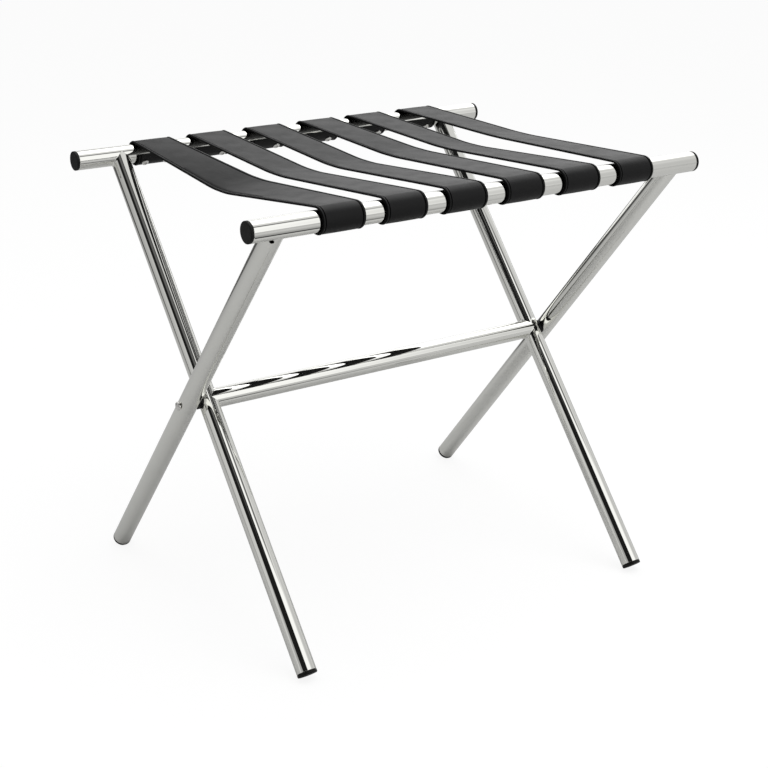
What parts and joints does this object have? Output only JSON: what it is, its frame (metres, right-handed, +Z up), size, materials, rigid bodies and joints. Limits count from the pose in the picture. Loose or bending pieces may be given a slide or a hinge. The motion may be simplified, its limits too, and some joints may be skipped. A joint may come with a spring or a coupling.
{
  "type": "folding luggage rack",
  "caption": "Folding luggage rack: two crossed frames of round chrome tube hinged on one pivot line, with black leather straps slung between the top rails to hold a suitcase.",
  "frame": {"origin": "on the floor, midway between the four feet", "axes": "+X along the rails to the right, +Y from the front rail to the back rail, +Z up; the side with the front rail faces -Y"},
  "size_m": [0.573, 0.4312, 0.5089],
  "materials": {
    "chrome_tube": "bright chrome plate on round steel tube",
    "bright_fastener": "bright nickel-plated steel, domed heads",
    "black_plastic": "black moulded plastic, slightly matt",
    "black_leather": "black leather with a satin grain, stitched along both edges, edges painted black",
    "zinc_insert": "zinc-plated steel"
  },
  "bodies": {
    "inner_frame": {"back_rail": "chrome_tube", "back_rail_cap_left": "black_plastic", "back_rail_cap_right": "black_plastic", "inner_leg_left": "chrome_tube", "inner_leg_right": "chrome_tube", "inner_foot_cap_left": "black_plastic", "inner_foot_cap_right": "black_plastic", "inner_saddle_left": "black_plastic", "inner_saddle_right": "black_plastic", "cross_tube": "chrome_tube", "cross_tube_insert_left": "zinc_insert", "cross_tube_insert_right": "zinc_insert", "back_strap_1_screw_left": "bright_fastener", "back_strap_1_screw_right": "bright_fastener", "back_strap_2_screw_left": "bright_fastener", "back_strap_2_screw_right": "bright_fastener", "back_strap_3_screw_left": "bright_fastener", "back_strap_3_screw_right": "bright_fastener", "back_strap_4_screw_left": "bright_fastener", "back_strap_4_screw_right": "bright_fastener", "back_strap_5_screw_left": "bright_fastener", "back_strap_5_screw_right": "bright_fastener", "back_strap_6_screw_left": "bright_fastener", "back_strap_6_screw_right": "bright_fastener"},
    "pivot_and_sling": {"pivot_bolt_left": "bright_fastener", "pivot_bolt_right": "bright_fastener", "strap_1": "black_leather", "strap_2": "black_leather", "strap_3": "black_leather", "strap_4": "black_leather", "strap_5": "black_leather", "strap_6": "black_leather"},
    "outer_frame": {"front_rail": "chrome_tube", "front_rail_cap_left": "black_plastic", "front_rail_cap_right": "black_plastic", "outer_leg_left": "chrome_tube", "outer_leg_right": "chrome_tube", "outer_foot_cap_left": "black_plastic", "outer_foot_cap_right": "black_plastic", "outer_saddle_left": "black_plastic", "outer_saddle_right": "black_plastic", "front_strap_1_screw_left": "bright_fastener", "front_strap_1_screw_right": "bright_fastener", "front_strap_2_screw_left": "bright_fastener", "front_strap_2_screw_right": "bright_fastener", "front_strap_3_screw_left": "bright_fastener", "front_strap_3_screw_right": "bright_fastener", "front_strap_4_screw_left": "bright_fastener", "front_strap_4_screw_right": "bright_fastener", "front_strap_5_screw_left": "bright_fastener", "front_strap_5_screw_right": "bright_fastener", "front_strap_6_screw_left": "bright_fastener", "front_strap_6_screw_right": "bright_fastener"}
  },
  "joints": [
    {"name": "inner_fold", "type": "hinge", "parent": "inner_frame", "child": "pivot_and_sling", "pos_m": [0, 0, 0.25261], "axis": [-1, 0, 0], "range_deg": [0, 33], "deforming": ["strap_1", "strap_2", "strap_3", "strap_4", "strap_5", "strap_6"]},
    {"name": "outer_fold", "type": "hinge", "parent": "pivot_and_sling", "child": "outer_frame", "pos_m": [0, 0, 0.25261], "axis": [-1, 0, 0], "range_deg": [0, 33]}
  ],
  "couplings": [
    {"joint": "outer_fold", "follows": "inner_fold", "ratio": 1}
  ]
}
